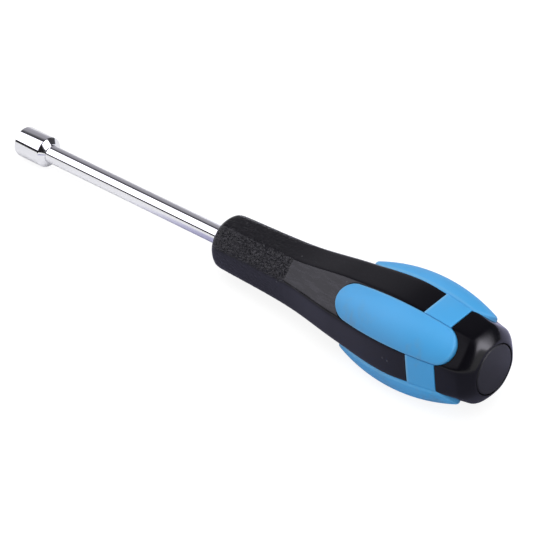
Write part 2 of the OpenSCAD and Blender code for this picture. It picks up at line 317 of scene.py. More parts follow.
class Lobe:
    """One soft lobe on a corner of the handle: a barrelled slot outline under a swept crest."""

    def __init__(self, s, handle):
        self.s = s
        self.handle = handle
        lobe_from, lobe_to = GRIP_LOW.x - BUTT_X, GRIP_HIGH.x - BUTT_X
        self.mid = (lobe_from + lobe_to) / 2
        self.run = (lobe_to - lobe_from) / 2 - s.lobe_end_r
        fall = s.crest_h - s.facet_half[4] - s.tip_rise
        self.sweep = ((lobe_to - s.crest_at) ** 2 + fall ** 2) / (2 * fall)

    def rim(self, j):
        """Outline point number j, the point of the spine behind it, and the rounding of the edge there."""
        s, run = self.s, self.run
        side, n = divmod(j, LOBE_SIDE + LOBE_END)
        turn = 1 if side == 0 else -1
        if n <= LOBE_SIDE:
            u = 2 * n / LOBE_SIDE - 1
            rim = Vector((run * u, s.lobe_end_r + (s.lobe_half - s.lobe_end_r) * (1 - u * u)))
            return rim * turn, Vector((run * u * turn, 0)), s.lobe_edge
        angle = math.pi * (n - LOBE_SIDE) / LOBE_END
        rim = Vector((run + s.lobe_end_r * math.sin(angle), s.lobe_end_r * math.cos(angle)))
        edge = s.lobe_edge + (s.lobe_tip - s.lobe_edge) * math.sin(angle)
        return rim * turn, Vector((run * turn, 0)), edge

    def holds(self, along, aside):
        """Whether a place in the lobe's plan is inside its outline."""
        s = self.s
        past = abs(along) - self.run
        if past > 0:
            return math.hypot(past, aside) < s.lobe_end_r + ON_EDGE
        bulge = (s.lobe_half - s.lobe_end_r) * (1 - (along / self.run) ** 2)
        return abs(aside) < s.lobe_end_r + bulge + ON_EDGE

    def wear(self, spot):
        """Edge wear and painted highlight at a point: most on the rounded edges of the lobes and of the
        band's front.
        """
        s = self.s
        at = spot.x - BUTT_X
        radius, angle = math.hypot(spot.y, spot.z), math.atan2(spot.z, spot.y)
        off = angle % QUARTER - CORNER
        up, aside = radius * math.cos(off), radius * math.sin(off)
        along = at - self.mid
        if self.holds(along, aside):
            past = max(0, abs(along) - self.run) / s.lobe_end_r
            edge = s.lobe_edge + (s.lobe_tip - s.lobe_edge) * past
            rise = 1 - (self.crest(at, aside) - up) / edge
            # Stronger at a lobe's front end than at its rear: wear together with a painted highlight
            wear_highlight = REAR_WEAR_HIGHLIGHT + (FRONT_WEAR_HIGHLIGHT - REAR_WEAR_HIGHLIGHT) * ease(-self.run, self.run, along)
            return wear_highlight * rise * math.sqrt(1 - rise * rise) if 0 < rise < 1 else 0
        # The band's front edge: wear together with a painted highlight
        rise = 1 - (s.band_to - at) / (BAND_HIGHLIGHT_WIDTH * s.band_lip)
        low = self.handle.reach(at, angle) + s.band_proud - s.band_lip
        return BAND_WEAR_HIGHLIGHT * rise if 0 < rise and radius > low - ON_EDGE else 0

    def crest(self, at, aside):
        """Height of the crest over the axis."""
        s = self.s
        across = math.sqrt(s.crest_r ** 2 - min(abs(aside), 0.99 * s.crest_r) ** 2)
        out = self.sweep - s.crest_r + across
        return s.crest_h - self.sweep + math.sqrt(out ** 2 - (at - s.crest_at) ** 2)


# Meshes


def loft(count, sections, place):
    """A skin through rings of count vertices, one ring for each section."""
    bm = bmesh.new()
    number = bm.verts.layers.int.new("number")
    ring = bmesh.ops.create_circle(bm, segments=count, radius=1)["verts"]
    for j, v in enumerate(ring):
        v[number] = j
    edges = list(bm.edges)
    first = edges
    for n, section in enumerate(sections):
        if n:
            made = bmesh.ops.extrude_edge_only(bm, edges=edges)["geom"]
            ring = {g for g in made if isinstance(g, bmesh.types.BMVert)}
            edges = [g for g in made if isinstance(g, bmesh.types.BMEdge) and ring.issuperset(g.verts)]
        for v in ring:
            v.co = place(section, v[number])
    bm.verts.layers.int.remove(number)
    return bm, first, edges


def sealed(bm):
    """Merges what meets in one place and turns the faces outwards."""
    bmesh.ops.remove_doubles(bm, verts=bm.verts, dist=MERGE)
    bmesh.ops.dissolve_degenerate(bm, edges=bm.edges, dist=MERGE)
    bmesh.ops.recalc_face_normals(bm, faces=bm.faces)
    return bm


def piece(name, bm):
    """An object of the scene with this mesh."""
    mesh = bpy.data.meshes.new(name)
    bm.to_mesh(mesh)
    bm.free()
    obj = bpy.data.objects.new(name, mesh)
    bpy.context.scene.collection.objects.link(obj)
    return obj


def combine(obj, other, operation):
    """Cuts, joins or crosses a piece with another, which is used up."""
    modifier = obj.modifiers.new("combine", "BOOLEAN")
    modifier.operation = operation
    modifier.solver = "EXACT"
    modifier.object = other
    evaluated = obj.evaluated_get(bpy.context.evaluated_depsgraph_get())
    mesh = bpy.data.meshes.new_from_object(evaluated)
    obj.modifiers.clear()
    old, obj.data = obj.data, mesh
    mesh.name = obj.name
    bpy.data.meshes.remove(old)
    bpy.data.meshes.remove(other.data)
    if not mesh.polygons:
        raise RuntimeError(f"{obj.name} was lost in a {operation.lower()}")


def dress(obj, node, material):
    """Smooths a finished piece, gives it its finish and puts it in its CAD node's place."""
    obj.data.shade_smooth()
    obj.data.set_sharp_from_angle(angle=SHARP)
    obj.data.materials.clear()
    obj.data.materials.append(material)
    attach(obj, BODY)
    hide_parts(node)


def filleted(*corners, steps=6):
    """A profile through corners (x, radius, rounding), with an arc at each rounded corner."""
    points = []
    for i, (x, r, size) in enumerate(corners):
        here = Vector((x, r))
        if not size:
            points.append(here)
            continue
        back = (Vector(corners[i - 1][:2]) - here).normalized()
        ahead = (Vector(corners[i + 1][:2]) - here).normalized()
        half = back.angle(ahead) / 2
        centre = here + (back + ahead).normalized() * (size / math.sin(half))
        start = here + back * (size / math.tan(half)) - centre
        end = here + ahead * (size / math.tan(half)) - centre
        arc = [start.normalized().slerp(end.normalized(), n / steps) for n in range(steps + 1)]
        points += [centre + size * way for way in arc]
    return points


def turned(points, closed=False):
    """A profile of (x, radius) points spun round the tool's axis."""
    bm = bmesh.new()
    verts = [bm.verts.new((x, 0, r)) for x, r in points]
    pairs = list(zip(verts, verts[1:]))
    if closed:
        pairs.append((verts[-1], verts[0]))
    edges = [bm.edges.new(pair) for pair in pairs]
    bmesh.ops.spin(
        bm, geom=verts + edges, cent=(0, 0, 0), axis=(1, 0, 0), angle=2 * math.pi, steps=TURNED,
        use_merge=True,
    )
    return sealed(bm)


def on_axis(x, radius, angle):
    """A point at a distance from the tool's axis."""
    return Vector((x, radius * math.cos(angle), radius * math.sin(angle)))


def spread(start, end, step):
    """Evenly spaced places from start to end, about a step apart."""
    count = max(1, round((end - start) / step))
    return [start + (end - start) * n / count for n in range(count + 1)]


def core_mesh(s, handle):
    """The hard moulding before its pockets are cut: hollow butt, outside and shaft bore in one skin."""
    steps = 18
    butt = spread(s.butt_lip, s.butt_round, BUTT_RING)[:-1]
    body = spread(s.butt_round, s.neck_at, BODY_RING)
    nose = spread(s.neck_at, HANDLE_LEN - s.nose_round, NOSE_RING)[1:]
    tip = [HANDLE_LEN - s.nose_round * (1 - math.sin(QUARTER * n / steps)) for n in range(1, steps + 1)]
    tang_end = SHAFT_LOW.x - BUTT_X
    hollow_end = tang_end - s.hollow_wall
    seat_r = s.cap_r + s.rim_gap
    corner = SMALL_ROUND
    plug_r = s.plug_r + s.cap_gap
    cap_floor = s.cap_t - (BUTT_X - CAP_LOW.x)
    bore = s.shaft_r + PLAY
    bend = [QUARTER * n / 6 for n in range(7)]
    inside = [(hollow_end, 0), (hollow_end, plug_r), (cap_floor, plug_r), (cap_floor, seat_r)]
    inside += [(corner * (1 - math.sin(a)), seat_r + corner * (1 - math.cos(a))) for a in bend]
    lip = [(s.butt_lip * u * u, u) for u in spread(0, 1, 0.125)[1:-1]]
    outside = [(at, None) for at in butt + body + nose + tip]
    front = [(HANDLE_LEN, bore), (tang_end, bore), (tang_end, 0)]
    sections = [("ring", *p) for p in inside] + [("lip", *p) for p in lip]
    sections += [("skin", *p) for p in outside] + [("ring", *p) for p in front]

    def place(section, j):
        kind, at, radius = section
        angle = 2 * math.pi * j / AROUND
        if kind == "lip":
            # A curve from the edge of the seat that runs into the slope of the butt
            u, rim = radius, handle.reach(s.butt_lip, angle)
            bent = 2 * rim - handle.reach(2 * s.butt_lip, angle)
            radius = (1 - u) ** 2 * (seat_r + corner) + 2 * u * (1 - u) * bent + u * u * rim
        elif kind == "skin":
            radius = handle.reach(at, angle)
            # The grain starts at the neck, fades out at the nose's end and is fainter on the panels
            grained = ease(s.neck_at, s.neck_at + 0.4 * MM, at) * ease(0, 4 * MM, HANDLE_LEN - at)
            grained *= 0.25 + 0.75 * ease(FACET_FROM, FACET_CUT, abs(math.sin(2 * angle)))
            spot = on_axis(0.6 * at, radius, angle) / s.grain_step
            radius -= s.grain_rise * grained * min(1, 4 * abs(noise.noise(spot)))
        return on_axis(BUTT_X + at, radius, angle)

    return sealed(loft(AROUND, sections, place)[0])


def lobe_mesh(lobe, turn, pocket=0, depth=None):
    """A lobe on the corner at an angle, or the cutter of its pocket or groove, larger all round by a gap."""
    s = lobe.s
    depth = s.grip_depth if depth is None else depth
    out, aside = on_axis(0, 1, turn), on_axis(0, 1, turn + QUARTER)
    under = [("under", 1), ("under", 0)]
    over = [("edge", QUARTER * n / 8) for n in range(9)]
    over += [("crest", n / 12) for n in range(1, 13)]

    def place(section, j):
        side, share_in = section
        rim, spine, edge = lobe.rim(j)
        reach = (rim - spine).length
        drop = 0
        if side == "edge":
            inset = edge * (1 - math.cos(share_in))
            drop = edge * (1 - math.sin(share_in))
        else:
            inset = edge + (reach - edge) * share_in if side == "crest" else reach * share_in
        spot = spine + (rim - spine) * ((1 - inset / reach) * (1 + pocket / reach))
        at = lobe.mid + spot.x
        if side == "under":
            height = lobe.handle.corner(at, spot.y) - depth - pocket
        elif pocket:
            height = s.crest_h + edge
        else:
            height = lobe.crest(at, spot.y) - drop
        return Vector((BUTT_X + at, 0, 0)) + out * height + aside * spot.y

    return sealed(loft(2 * (LOBE_SIDE + LOBE_END), under + over, place)[0])


def band_mesh(s, handle, pocket=0):
    """The soft band round the handle, or the cutter of its pocket, larger all round by a gap."""
    edge, lip = s.band_edge, s.band_lip
    rear, front = s.band_from - pocket, s.band_to + pocket / 4
    under = -s.grip_depth - pocket
    rise = s.band_proud + (lip if pocket else 0)
    bend = [QUARTER * n / 5 for n in range(6)]
    profile = [(rear, under)]
    profile += [(rear + edge * (1 - math.cos(a)), rise - edge * (1 - math.sin(a))) for a in bend]
    profile += [(at, rise) for at in spread(rear + edge, front - lip, BODY_RING)[1:-1]]
    profile += [(front - lip * (1 - math.cos(a)), rise - lip * (1 - math.sin(a))) for a in bend[::-1]]
    profile += [(front, under)]

    def place(section, j):
        at, grow = section
        angle = 2 * math.pi * j / AROUND
        return on_axis(BUTT_X + at, handle.reach(at, angle) + grow, angle)

    bm, first, last = loft(AROUND, profile, place)
    bmesh.ops.bridge_loops(bm, edges=first + last)
    return sealed(bm)


def grip_piece(name, pocket=0):
    """The soft grip, or the cutter of its pockets: the band joined with a lobe on each corner."""
    s = sizes()
    handle = Handle(s)
    lobe = Lobe(s, handle)
    obj = piece(name, band_mesh(s, handle, pocket))
    turns = [CORNER + n * QUARTER for n in range(4)]
    if not pocket:
        for turn in turns:
            combine(obj, piece("groove", lobe_mesh(lobe, turn, s.crease, s.crease)), "DIFFERENCE")
    for turn in turns:
        combine(obj, piece("lobe", lobe_mesh(lobe, turn, pocket)), "UNION")
    if not pocket:
        mark_wear(obj, lobe)
    return obj


def mark_wear(obj, lobe):
    """Keeps the grip's edge wear and painted highlight in an attribute that its finish reads."""
    bm = bmesh.new()
    bm.from_mesh(obj.data)
    wear_and_highlight = bm.verts.layers.float.new("wear_and_highlight")
    for v in bm.verts:
        v[wear_and_highlight] = lobe.wear(v.co)
    bm.to_mesh(obj.data)
    bm.free()


def wing_mesh(s, grow=0):
    """The two pressed wings on the held end of the shaft, as one flat bar through it."""
    start = SHAFT_LOW.x + s.wing_from_end
    half = s.shaft_r + s.wing_h
    sections = [
        (-grow, s.shaft_r / 2), (s.wing_ramp - grow, half), (s.wing_len - s.wing_ramp + grow, half),
        (s.wing_len + grow, s.shaft_r / 2),
    ]

    def place(section, j):
        at, reach = section
        corner = (j + 0.5) * QUARTER
        y = math.copysign(s.wing_t / 2 + grow, math.cos(corner))
        z = math.copysign(reach + grow, math.sin(corner))
        return Vector((start + at, y, z))

    bm = loft(4, sections, place)[0]
    bmesh.ops.holes_fill(bm, edges=bm.edges, sides=4)
    return sealed(bm)


def hexagon_mesh(s):
    """The cutter of the socket's hexagon, with its corners up and down."""
    corner_r = s.hex_af / math.sqrt(3)
    ends = (SOCKET_HIGH.x - s.hex_depth, SOCKET_HIGH.x + s.lead_in)

    def place(x, j):
        return on_axis(x, corner_r, QUARTER + 2 * math.pi * j / 6)

    bm = loft(6, ends, place)[0]
    bmesh.ops.holes_fill(bm, edges=bm.edges, sides=6)
    along = [e for e in bm.edges if abs(e.verts[0].co.x - e.verts[1].co.x) > s.hex_depth / 2]
    bmesh.ops.bevel(
        bm, geom=along, offset=SMALL_ROUND, offset_type="OFFSET", affect="EDGES", segments=3,
        profile=0.5, material=-1,
    )
    return sealed(bm)


# Finishes


def add(tree, kind, inputs=(), **settings):
    """A shader node with its settings and socket values."""
    made = tree.nodes.new(kind)
    for key, value in settings.items():
        setattr(made, key, value)
    for key, value in dict(inputs).items():
        if isinstance(value, bpy.types.NodeSocket):
            tree.links.new(value, made.inputs[key])
        else:
            made.inputs[key].default_value = value
    return made


def maths(tree, operation, a, b=0.0):
    """One sum of two values."""
    return add(tree, "ShaderNodeMath", {0: a, 1: b}, operation=operation).outputs[0]


def product(tree, value, *others):
    """Several values multiplied together."""
    for other in others:
        value = maths(tree, "MULTIPLY", value, other)
    return value


def mixed(tree, factor, low, high):
    """A colour that goes from one at 0 to another at 1."""
    return add(tree, "ShaderNodeMix", {"Factor": factor, 6: low, 7: high}, data_type="RGBA").outputs[2]


def own_place(tree):
    """The place on the object, whole and split into X, Y and Z."""
    spot = add(tree, "ShaderNodeTexCoord").outputs["Object"]
    return spot, add(tree, "ShaderNodeSeparateXYZ", {0: spot}).outputs


def soft_step(tree, value, low, high, bottom=0.0, top=1.0):
    """A soft step from one level at low to another at high."""
    inputs = {"Value": value, "From Min": low, "From Max": high, "To Min": bottom, "To Max": top}
    return add(tree, "ShaderNodeMapRange", inputs, interpolation_type="SMOOTHSTEP").outputs[0]


def group(name, inputs, outputs):
    """An empty shader node group with named value sockets."""
    tree = bpy.data.node_groups.new(name, "ShaderNodeTree")
    for label, value in inputs.items():
        socket = tree.interface.new_socket(label, in_out="INPUT", socket_type="NodeSocketFloat")
        socket.default_value = value
    for label in outputs:
        tree.interface.new_socket(label, in_out="OUTPUT", socket_type="NodeSocketFloat")
    return tree, tree.nodes.new("NodeGroupInput"), tree.nodes.new("NodeGroupOutput")


def moulded_grain():
    """Group of a moulded surface's grain: a fine height, and slow patches of tone from 0 to 1."""
    tree, given, result = group("moulded_grain", {"Fineness": 3000.0, "Patch": 60.0}, ["Height", "Tone"])
    place = add(tree, "ShaderNodeTexCoord").outputs["Object"]
    fine_inputs = {"Vector": place, "Scale": given.outputs["Fineness"], "Detail": 2.0}
    fine = add(tree, "ShaderNodeTexNoise", fine_inputs)
    slow = add(tree, "ShaderNodeTexNoise", {"Vector": place, "Scale": given.outputs["Patch"], "Detail": 3.0})
    tree.links.new(fine.outputs[0], result.inputs["Height"])
    tree.links.new(slow.outputs[0], result.inputs["Tone"])
    return tree


def dust_specks():
    """Group of sparse pale specks: a mask that is 1 in the middle of each."""
    tree, given, result = group("dust_specks", {"Spacing": 160.0, "Size": 0.05}, ["Mask"])
    place = add(tree, "ShaderNodeTexCoord").outputs["Object"]
    cells = add(tree, "ShaderNodeTexVoronoi", {"Vector": place, "Scale": given.outputs["Spacing"]})
    near = maths(tree, "LESS_THAN", cells.outputs["Distance"], given.outputs["Size"])
    tree.links.new(near, result.inputs["Mask"])
    return tree


def scuff_streaks():
    """Group of faint scuffs drawn along the tool: a mask of thin uneven streaks."""
    tree, given, result = group("scuff_streaks", {"Fineness": 1000.0}, ["Mask"])
    place = add(tree, "ShaderNodeTexCoord").outputs["Object"]
    drawn = add(tree, "ShaderNodeMapping", {"Vector": place, "Scale": (0.12, 1, 1)}).outputs[0]
    inputs = {"Vector": drawn, "Scale": given.outputs["Fineness"]}
    inputs |= {"Detail": 3.0, "Roughness": 0.65, "Distortion": 0.3}
    streaks = add(tree, "ShaderNodeTexNoise", inputs).outputs[0]
    tree.links.new(soft_step(tree, streaks, 0.46, 0.62), result.inputs["Mask"])
    return tree


def grime_and_sheen_marks():
    """Group of the grey film that hands leave together with a painted floor reflection: a mask of soft uneven
    patches.
    """
    tree, given, result = group("grime_and_sheen_marks", {"Patch": 95.0, "Strength": 0.45}, ["Mask"])
    place = add(tree, "ShaderNodeTexCoord").outputs["Object"]
    inputs = {"Vector": place, "Scale": given.outputs["Patch"]}
    inputs |= {"Detail": 4.0, "Roughness": 0.6, "Distortion": 0.4}
    patches = add(tree, "ShaderNodeTexNoise", inputs).outputs[0]
    mask = maths(tree, "MULTIPLY", soft_step(tree, patches, 0.5, 0.72), given.outputs["Strength"])
    tree.links.new(mask, result.inputs["Mask"])
    return tree


def placed(tree, build, **inputs):
    """A node group, built once, placed in a material with its own values."""
    node = add(tree, "ShaderNodeGroup", node_tree=bpy.data.node_groups.get(build.__name__) or build())
    for label, value in inputs.items():
        node.inputs[label].default_value = value
    return node


def material(name, metallic=0.0):
    """A new material, its node tree and its shader."""
    made = bpy.data.materials.new(name)
    made.use_nodes = True
    tree = made.node_tree
    shader = tree.nodes["Principled BSDF"]
    shader.inputs["Metallic"].default_value = metallic
    return made, tree, shader


def varied(tree, tone, middle, swing):
    """A value that follows a tone about its middle."""
    inputs = {"Value": tone, "To Min": middle - swing, "To Max": middle + swing}
    return add(tree, "ShaderNodeMapRange", inputs).outputs[0]


def shaded(tree, colour, tone, swing):
    """A colour that is a little darker and lighter with a tone."""
    dark = [c * (1 - swing) for c in colour] + [1]
    light = [min(1, c * (1 + swing)) for c in colour] + [1]
    return mixed(tree, tone, dark, light)


def blended(tree, mask, colour, over):
    """A colour with a plain one over it where a mask says."""
    return mixed(tree, mask, colour, [*over, 1])


def bumped(tree, height, rise):
    """A normal from a height that spans a rise in metres."""
    return add(tree, "ShaderNodeBump", {"Height": height, "Distance": rise}).outputs["Normal"]


def clad(tree, shader, colour, rough, normal):
    """Joins a finish's colour, roughness and normal to its shader."""
    for socket, value in {"Base Color": colour, "Roughness": rough, "Normal": normal}.items():
        tree.links.new(value, shader.inputs[socket])


def chrome_plate():
    """Bright plating, with faint patches of handling in its gloss."""
    f = finish()
    made, tree, shader = material("chrome_plate", metallic=1.0)
    grain = placed(tree, moulded_grain, Fineness=900.0, Patch=90.0)
    colour = shaded(tree, f.chrome, grain.outputs["Tone"], 0.03)
    rough = varied(tree, grain.outputs["Tone"], f.chrome_rough, 0.03)
    clad(tree, shader, colour, rough, bumped(tree, grain.outputs["Height"], 0.0004 * MM))
    return made


def hard_plastic():
    """Black moulding: satin along the body, a wavy grain on the nose, and scuffs and specks of dust."""
    s, f = sizes(), finish()
    made, tree, shader = material("hard_plastic")
    shader.inputs["Specular IOR Level"].default_value = 0.31
    grain = placed(tree, moulded_grain, Fineness=4200.0, Patch=70.0)
    specks = placed(tree, dust_specks, Spacing=150.0, Size=0.045)
    place, parts = own_place(tree)
    neck_x = BUTT_X + s.neck_at
    # 0 in the middle of a panel and 1 in the middle of a corner facet
    twice = maths(tree, "MULTIPLY", maths(tree, "ARCTAN2", parts["Z"], parts["Y"]), 2.0)
    across = maths(tree, "ABSOLUTE", maths(tree, "SINE", twice))
    # The grain starts at once on a facet, and more slowly on a panel
    starts = {"Value": across, "From Min": 0.6, "From Max": 0.75}
    starts |= {"To Min": neck_x + 7 * MM, "To Max": neck_x + 0.2 * MM}
    soft_end = add(tree, "ShaderNodeMapRange", starts).outputs[0]
    ramp = {"Value": parts["X"], "From Min": neck_x, "From Max": soft_end}
    nose = add(tree, "ShaderNodeMapRange", ramp).outputs[0]
    drawn = add(tree, "ShaderNodeMapping", {"Vector": place, "Scale": (0.38, 1, 1)}).outputs[0]
    ridges = {"Vector": drawn, "Scale": 1 / s.ridge_step, "Detail": 1.5, "Roughness": 0.6, "Distortion": 0.8}
    wavy = add(tree, "ShaderNodeTexNoise", ridges).outputs[0]
    waves = maths(tree, "ABSOLUTE", maths(tree, "SUBTRACT", wavy, 0.5))
    deep = product(tree, waves, -4.0, nose, soft_step(tree, across, FACET_FROM, FACET_FULL, 0.3, 1.0))
    fine = maths(tree, "MULTIPLY", grain.outputs["Height"], 0.04)
    normal = bumped(tree, maths(tree, "ADD", deep, fine), 0.2 * MM)
    body_rough = varied(tree, grain.outputs["Tone"], f.hard_rough, 0.06)
    nose_rough = maths(tree, "MULTIPLY", nose, f.nose_rough - f.hard_rough)
    rough = maths(tree, "ADD", body_rough, nose_rough)
    colour = shaded(tree, f.hard_black, grain.outputs["Tone"], 0.2)
    # Scuffs lie ahead of the lobes, off the nose, and mostly on the facets
    scuffs = placed(tree, scuff_streaks).outputs["Mask"]
    hip_x = BUTT_X + s.hip_at
    fore = soft_step(tree, parts["X"], hip_x - 8 * MM, hip_x)
    on_facet = soft_step(tree, across, FACET_FROM, FACET_FULL, 0.15, 1.0)
    scuffs = product(tree, scuffs, fore, maths(tree, "SUBTRACT", 1.0, nose), on_facet)
    colour = blended(tree, scuffs, colour, f.scuff)
    clad(tree, shader, blended(tree, specks.outputs["Mask"], colour, f.dust), rough, normal)
    return made


def soft_rubber():
    """Blue overmoulding: matte, with a fine skin, a painted sheen towards the front, paler rounded edges from
    wear and a painted highlight, and grey patches below from grime and a painted floor reflection.
    """
    s, f = sizes(), finish()
    made, tree, shader = material("soft_rubber")
    grain = placed(tree, moulded_grain, Fineness=3600.0, Patch=110.0)
    colour = shaded(tree, f.soft_blue, grain.outputs["Tone"], 0.05)
    grime_and_sheen_patches = placed(tree, grime_and_sheen_marks)
    _, place = own_place(tree)
    # Painted sheen: a little paler from the tail towards the front
    bloom = soft_step(tree, place["X"], BUTT_X + s.tail_at, BUTT_X + s.belly_at, 0.0, 0.05)
    colour = blended(tree, bloom, colour, f.bloom)
    # Little grime on top, and most of it below
    # Grey patches, faint on top and strongest below: handling grime together with a painted reflection of the
    # floor
    lower = soft_step(tree, place["Z"], 15 * MM, 5 * MM, 0.1, 1.0)
    colour = blended(tree, maths(tree, "MULTIPLY", grime_and_sheen_patches.outputs["Mask"], lower), colour, f.grime)
    # Paler rounded edges: wear together with a painted highlight
    wear_and_highlight = add(tree, "ShaderNodeAttribute", attribute_name="wear_and_highlight").outputs["Fac"]
    colour = blended(tree, wear_and_highlight, colour, f.worn_blue)
    rough = varied(tree, grain.outputs["Tone"], f.soft_rough, 0.06)
    clad(tree, shader, colour, rough, bumped(tree, grain.outputs["Height"], 0.012 * MM))
    return made


def cap_plastic():
    """Black disc with a fine spark-eroded skin."""
    f = finish()
    made, tree, shader = material("cap_plastic")
    grain = placed(tree, moulded_grain, Fineness=2600.0, Patch=160.0)
    colour = shaded(tree, f.cap_black, grain.outputs["Tone"], 0.25)
    rough = varied(tree, grain.outputs["Tone"], f.cap_rough, 0.08)
    clad(tree, shader, colour, rough, bumped(tree, grain.outputs["Height"], 0.04 * MM))
    return made


def plating():
    """The chrome that the socket and the shaft share."""
    return bpy.data.materials.get("chrome_plate") or chrome_plate()


# Operators


class DRIVER_OT_shaft(bpy.types.Operator):
    """Turns the chromed shaft and presses the wings on its held end"""

    bl_idname = "driver.shaft"
    bl_label = "Shaft"

    def execute(self, context):
        s = sizes()
        r = s.shaft_r
        end, front = SHAFT_LOW.x, SHAFT_HIGH.x
        chamfer = s.tang_chamfer
        profile = [(end, 0), (end, r - chamfer), (end + chamfer, r), (front, r), (front, 0)]
        obj = piece("nut_driver_shaft", turned(profile))
        combine(obj, piece("wings", wing_mesh(s)), "UNION")
        dress(obj, "shaft", plating())
        return {"FINISHED"}


class DRIVER_OT_socket(bpy.types.Operator):
    """Turns the socket and cuts its hexagon"""

    bl_idname = "driver.socket"
    bl_label = "Socket"

    def execute(self, context):
        s = sizes()
        back, mouth = SOCKET_LOW.x, SOCKET_HIGH.x
        seat = s.shaft_r + PLAY
        bore_back = mouth - s.hex_depth - s.stud_depth
        guide = s.hex_af / 2 + s.lead_in
        # The turned throat is a little narrower than the hexagon, which then cuts all of its wall
        throat = 0.98 * s.hex_af / 2
        profile = filleted(
            (back, seat, 0),
            (back, s.shaft_r + s.shoulder_foot, 0.12 * MM),
            (back + s.shoulder_len, s.socket_r, s.socket_edge),
            (mouth, s.socket_r, s.mouth_edge),
            (mouth, guide, 0.1 * MM),
            (mouth - guide + throat, throat, 0),
            (mouth - s.hex_depth, throat, 0),
            (mouth - s.hex_depth, s.stud_r, 0),
            (bore_back, s.stud_r, 0),
            (bore_back, seat, 0),
        )
        obj = piece("nut_driver_socket", turned(profile, closed=True))
        combine(obj, piece("hexagon", hexagon_mesh(s)), "DIFFERENCE")
        dress(obj, "socket", plating())
        return {"FINISHED"}


class DRIVER_OT_core(bpy.types.Operator):
    """Lofts the hard moulding and cuts the pockets of the soft grip and of the wings"""

    bl_idname = "driver.core"
    bl_label = "Handle core"

    def execute(self, context):
        s = sizes()
        obj = piece("nut_driver_handle", core_mesh(s, Handle(s)))
        combine(obj, grip_piece("pockets", s.seam), "DIFFERENCE")
        combine(obj, piece("wing_slot", wing_mesh(s, PLAY)), "DIFFERENCE")
        dress(obj, "handle_core", hard_plastic())
        return {"FINISHED"}


class DRIVER_OT_grip(bpy.types.Operator):
    """Moulds the soft lobes and the band that joins them"""

    bl_idname = "driver.grip"
    bl_label = "Soft grip"

    def execute(self, context):
        obj = grip_piece("nut_driver_grip")
        dress(obj, "soft_grip", soft_rubber())
        return {"FINISHED"}


class DRIVER_OT_cap(bpy.types.Operator):
    """Turns the end cap with its plug and snap bead"""

    bl_idname = "driver.cap"
    bl_label = "End cap"

    def execute(self, context):
        s = sizes()
        face, plug_end = CAP_LOW.x, CAP_HIGH.x
        floor = face + s.cap_t
        bead = floor + s.bead_from_disc
        hollow_r = s.plug_r - s.plug_wall
        profile = filleted(
            (face, 0, 0),
            (face, s.cap_r, s.cap_edge),
            (floor, s.cap_r, 0),
            (floor, s.plug_r, 0),
            (bead - s.bead_ramp, s.plug_r, 0),
            (bead, s.plug_r + s.bead_h, 0.2 * MM),
            (bead + s.bead_ramp, s.plug_r, 0),
            (plug_end, s.plug_r, 0.3 * MM),
            (plug_end, hollow_r, 0),
            (floor, hollow_r, 0),
            (floor, 0, 0),
        )
        obj = piece("nut_driver_cap", turned(profile))
        dress(obj, "end_cap", cap_plastic())
        return {"FINISHED"}


# Stage

CAMERA_AT = Vector((-0.5172, 0.3803, 0.4191))
CAMERA_AIM = Vector((-0.11047, 0.00156, -0.00153))
CAMERA_ROLL = math.radians(-6.83)
CAMERA_LENS = 155.35
SENSOR = 36
# Middle of the object, which the lamp faces and the tent and floor are centred on
MIDDLE = Vector((-0.1, 0, 0))
# The tent that the gloss reflects: its radius, and the turn where it starts
TENT_R = 0.9
TENT_FROM = math.radians(9)
FLOOR_SIDE = 4
FLOOR_GAP = 0.2 * MM
LAMP_SIDE = 0.9
LAMP_RADIANCE = 2.2


def cleared(made):
    """The empty node tree of a new material or world."""
    made.use_nodes = True
    made.node_tree.nodes.clear()
    return made.node_tree


def background_rays(tree, path):
    """1 for the rays that see the background: from the camera, in reflections and through glass."""
    seen = maths(tree, "ADD", path["Is Camera Ray"], path["Is Glossy Ray"])
    return maths(tree, "MINIMUM", maths(tree, "ADD", seen, path["Is Transmission Ray"]), 1.0)


